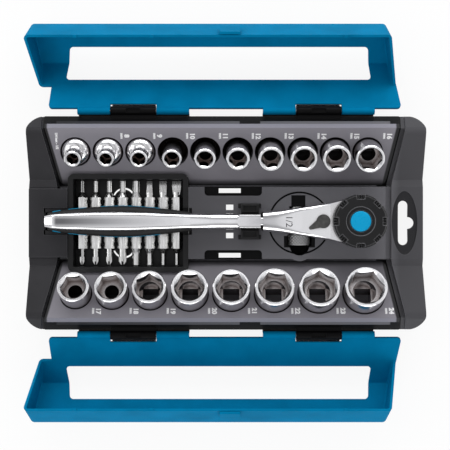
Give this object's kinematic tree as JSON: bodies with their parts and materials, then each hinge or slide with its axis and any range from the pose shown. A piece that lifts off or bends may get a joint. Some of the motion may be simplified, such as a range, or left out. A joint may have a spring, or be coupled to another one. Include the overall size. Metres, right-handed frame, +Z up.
{
  "type": "socket wrench set in case",
  "caption": "Hinged-lid plastic case that opens like wings over tilted rows of sockets, with screwdriver bits, a drive adapter and a reversible ratchet lying down its middle.",
  "frame": {"origin": "middle of the case's footprint, on the surface that it stands on", "axes": "+X along the ratchet towards the hanger slot, +Y towards the row of small sockets, +Z up"},
  "size_m": [0.3066, 0.312, 0.0531],
  "materials": {
    "case_plastic": "fine matte texture",
    "panel_plastic": "fine matte texture",
    "tray_plastic": "matte",
    "lid_plastic": "satin",
    "chrome": "polished",
    "bit_steel": "satin",
    "pin_steel": "drawn wire",
    "grip_rubber": "soft matte",
    "inlay_plastic": "satin",
    "dial_plastic": "satin",
    "button_plastic": "satin",
    "lever_metal": "satin"
  },
  "bodies": {
    "case": {"case_body": "case_plastic", "socket_panel_upper": "panel_plastic", "socket_panel_lower": "panel_plastic", "bit_tray": "tray_plastic", "drive_adapter": "chrome", "hinge_pin_upper_left": "pin_steel", "hinge_pin_upper_right": "pin_steel", "hinge_pin_lower_left": "pin_steel", "hinge_pin_lower_right": "pin_steel", "bit_upper_1": "bit_steel", "bit_upper_2": "bit_steel", "bit_upper_3": "bit_steel", "bit_upper_4": "bit_steel", "bit_upper_5": "bit_steel", "bit_upper_6": "bit_steel", "bit_upper_7": "bit_steel", "bit_upper_8": "bit_steel", "bit_lower_1": "bit_steel", "bit_lower_2": "bit_steel", "bit_lower_3": "bit_steel", "bit_lower_4": "bit_steel", "bit_lower_5": "bit_steel", "bit_lower_6": "bit_steel", "bit_lower_7": "bit_steel", "bit_lower_8": "bit_steel"},
    "lid_upper": {"lid_upper": "lid_plastic"},
    "lid_lower": {"lid_lower": "lid_plastic"},
    "ratchet": {"ratchet_body": "chrome", "retaining_ring": "bit_steel", "grip_sleeve": "grip_rubber", "grip_inlay_upper": "inlay_plastic", "grip_inlay_lower": "inlay_plastic"},
    "drive": {"drive_spindle": "chrome", "spinner_dial": "dial_plastic", "detent_ball": "bit_steel", "button_spring": "bit_steel"},
    "release_button": {"release_button": "button_plastic"},
    "reverse_lever": {"reverse_lever": "lever_metal"},
    "pawl": {"pawl": "bit_steel"},
    "bit_holder": {"bit_holder": "chrome"},
    "socket_08": {"socket_08": "chrome"},
    "socket_09": {"socket_09": "chrome"},
    "socket_10": {"socket_10": "chrome"},
    "socket_11": {"socket_11": "chrome"},
    "socket_12": {"socket_12": "chrome"},
    "socket_13": {"socket_13": "chrome"},
    "socket_14": {"socket_14": "chrome"},
    "socket_15": {"socket_15": "chrome"},
    "socket_16": {"socket_16": "chrome"},
    "socket_17": {"socket_17": "chrome"},
    "socket_18": {"socket_18": "chrome"},
    "socket_19": {"socket_19": "chrome"},
    "socket_20": {"socket_20": "chrome"},
    "socket_21": {"socket_21": "chrome"},
    "socket_22": {"socket_22": "chrome"},
    "socket_23": {"socket_23": "chrome"},
    "socket_24": {"socket_24": "chrome"}
  },
  "joints": [
    {"name": "lid_upper_hinge", "type": "hinge", "parent": "case", "child": "lid_upper", "pos_m": [0, 0.0874, 0.024], "axis": [-1, 0, 0], "range_deg": [-153, 0]},
    {"name": "lid_lower_hinge", "type": "hinge", "parent": "case", "child": "lid_lower", "pos_m": [0, -0.0874, 0.024], "axis": [1, 0, 0], "range_deg": [-153, 0]},
    {"name": "ratchet_lift", "type": "slide", "parent": "case", "child": "ratchet", "axis": [0, 0, 1], "range_m": [0, 0.1]},
    {"name": "drive_spin", "type": "hinge", "parent": "ratchet", "child": "drive", "pos_m": [0.1021, 0.0012, 0.031], "axis": [0, 0, 1], "continuous": true},
    {"name": "release_press", "type": "slide", "parent": "drive", "child": "release_button", "axis": [0, 0, 1], "range_m": [-0.0025, 0], "stiffness_N_per_m": 800, "springref_m": 0.002},
    {"name": "reverse_turn", "type": "hinge", "parent": "ratchet", "child": "reverse_lever", "pos_m": [0.0745, 0.0012, 0.0395], "axis": [0, 0, 1], "range_deg": [-54, 0]},
    {"name": "pawl_rock", "type": "hinge", "parent": "ratchet", "child": "pawl", "pos_m": [0.079, 0.0012, 0.031], "axis": [0, 0, 1], "range_deg": [-2.2, 0.2]},
    {"name": "bit_holder_lift", "type": "slide", "parent": "case", "child": "bit_holder", "axis": [0, -0.3907, 0.9205], "range_m": [0, 0.04]},
    {"name": "socket_08_lift", "type": "slide", "parent": "case", "child": "socket_08", "axis": [0, -0.3907, 0.9205], "range_m": [0, 0.04]},
    {"name": "socket_09_lift", "type": "slide", "parent": "case", "child": "socket_09", "axis": [0, -0.3907, 0.9205], "range_m": [0, 0.04]},
    {"name": "socket_10_lift", "type": "slide", "parent": "case", "child": "socket_10", "axis": [0, -0.3907, 0.9205], "range_m": [0, 0.04]},
    {"name": "socket_11_lift", "type": "slide", "parent": "case", "child": "socket_11", "axis": [0, -0.3907, 0.9205], "range_m": [0, 0.04]},
    {"name": "socket_12_lift", "type": "slide", "parent": "case", "child": "socket_12", "axis": [0, -0.3907, 0.9205], "range_m": [0, 0.04]},
    {"name": "socket_13_lift", "type": "slide", "parent": "case", "child": "socket_13", "axis": [0, -0.3907, 0.9205], "range_m": [0, 0.04]},
    {"name": "socket_14_lift", "type": "slide", "parent": "case", "child": "socket_14", "axis": [0, -0.3907, 0.9205], "range_m": [0, 0.04]},
    {"name": "socket_15_lift", "type": "slide", "parent": "case", "child": "socket_15", "axis": [0, -0.3907, 0.9205], "range_m": [0, 0.04]},
    {"name": "socket_16_lift", "type": "slide", "parent": "case", "child": "socket_16", "axis": [0, -0.3907, 0.9205], "range_m": [0, 0.04]},
    {"name": "socket_17_lift", "type": "slide", "parent": "case", "child": "socket_17", "axis": [0, 0.3907, 0.9205], "range_m": [0, 0.04]},
    {"name": "socket_18_lift", "type": "slide", "parent": "case", "child": "socket_18", "axis": [0, 0.3907, 0.9205], "range_m": [0, 0.04]},
    {"name": "socket_19_lift", "type": "slide", "parent": "case", "child": "socket_19", "axis": [0, 0.3907, 0.9205], "range_m": [0, 0.04]},
    {"name": "socket_20_lift", "type": "slide", "parent": "case", "child": "socket_20", "axis": [0, 0.3907, 0.9205], "range_m": [0, 0.04]},
    {"name": "socket_21_lift", "type": "slide", "parent": "case", "child": "socket_21", "axis": [0, 0.3907, 0.9205], "range_m": [0, 0.04]},
    {"name": "socket_22_lift", "type": "slide", "parent": "case", "child": "socket_22", "axis": [0, 0.3907, 0.9205], "range_m": [0, 0.04]},
    {"name": "socket_23_lift", "type": "slide", "parent": "case", "child": "socket_23", "axis": [0, 0.3907, 0.9205], "range_m": [0, 0.04]},
    {"name": "socket_24_lift", "type": "slide", "parent": "case", "child": "socket_24", "axis": [0, 0.3907, 0.9205], "range_m": [0, 0.04]}
  ],
  "couplings": [
    {"joint": "pawl_rock", "follows": "reverse_turn", "ratio": 0.037}
  ]
}
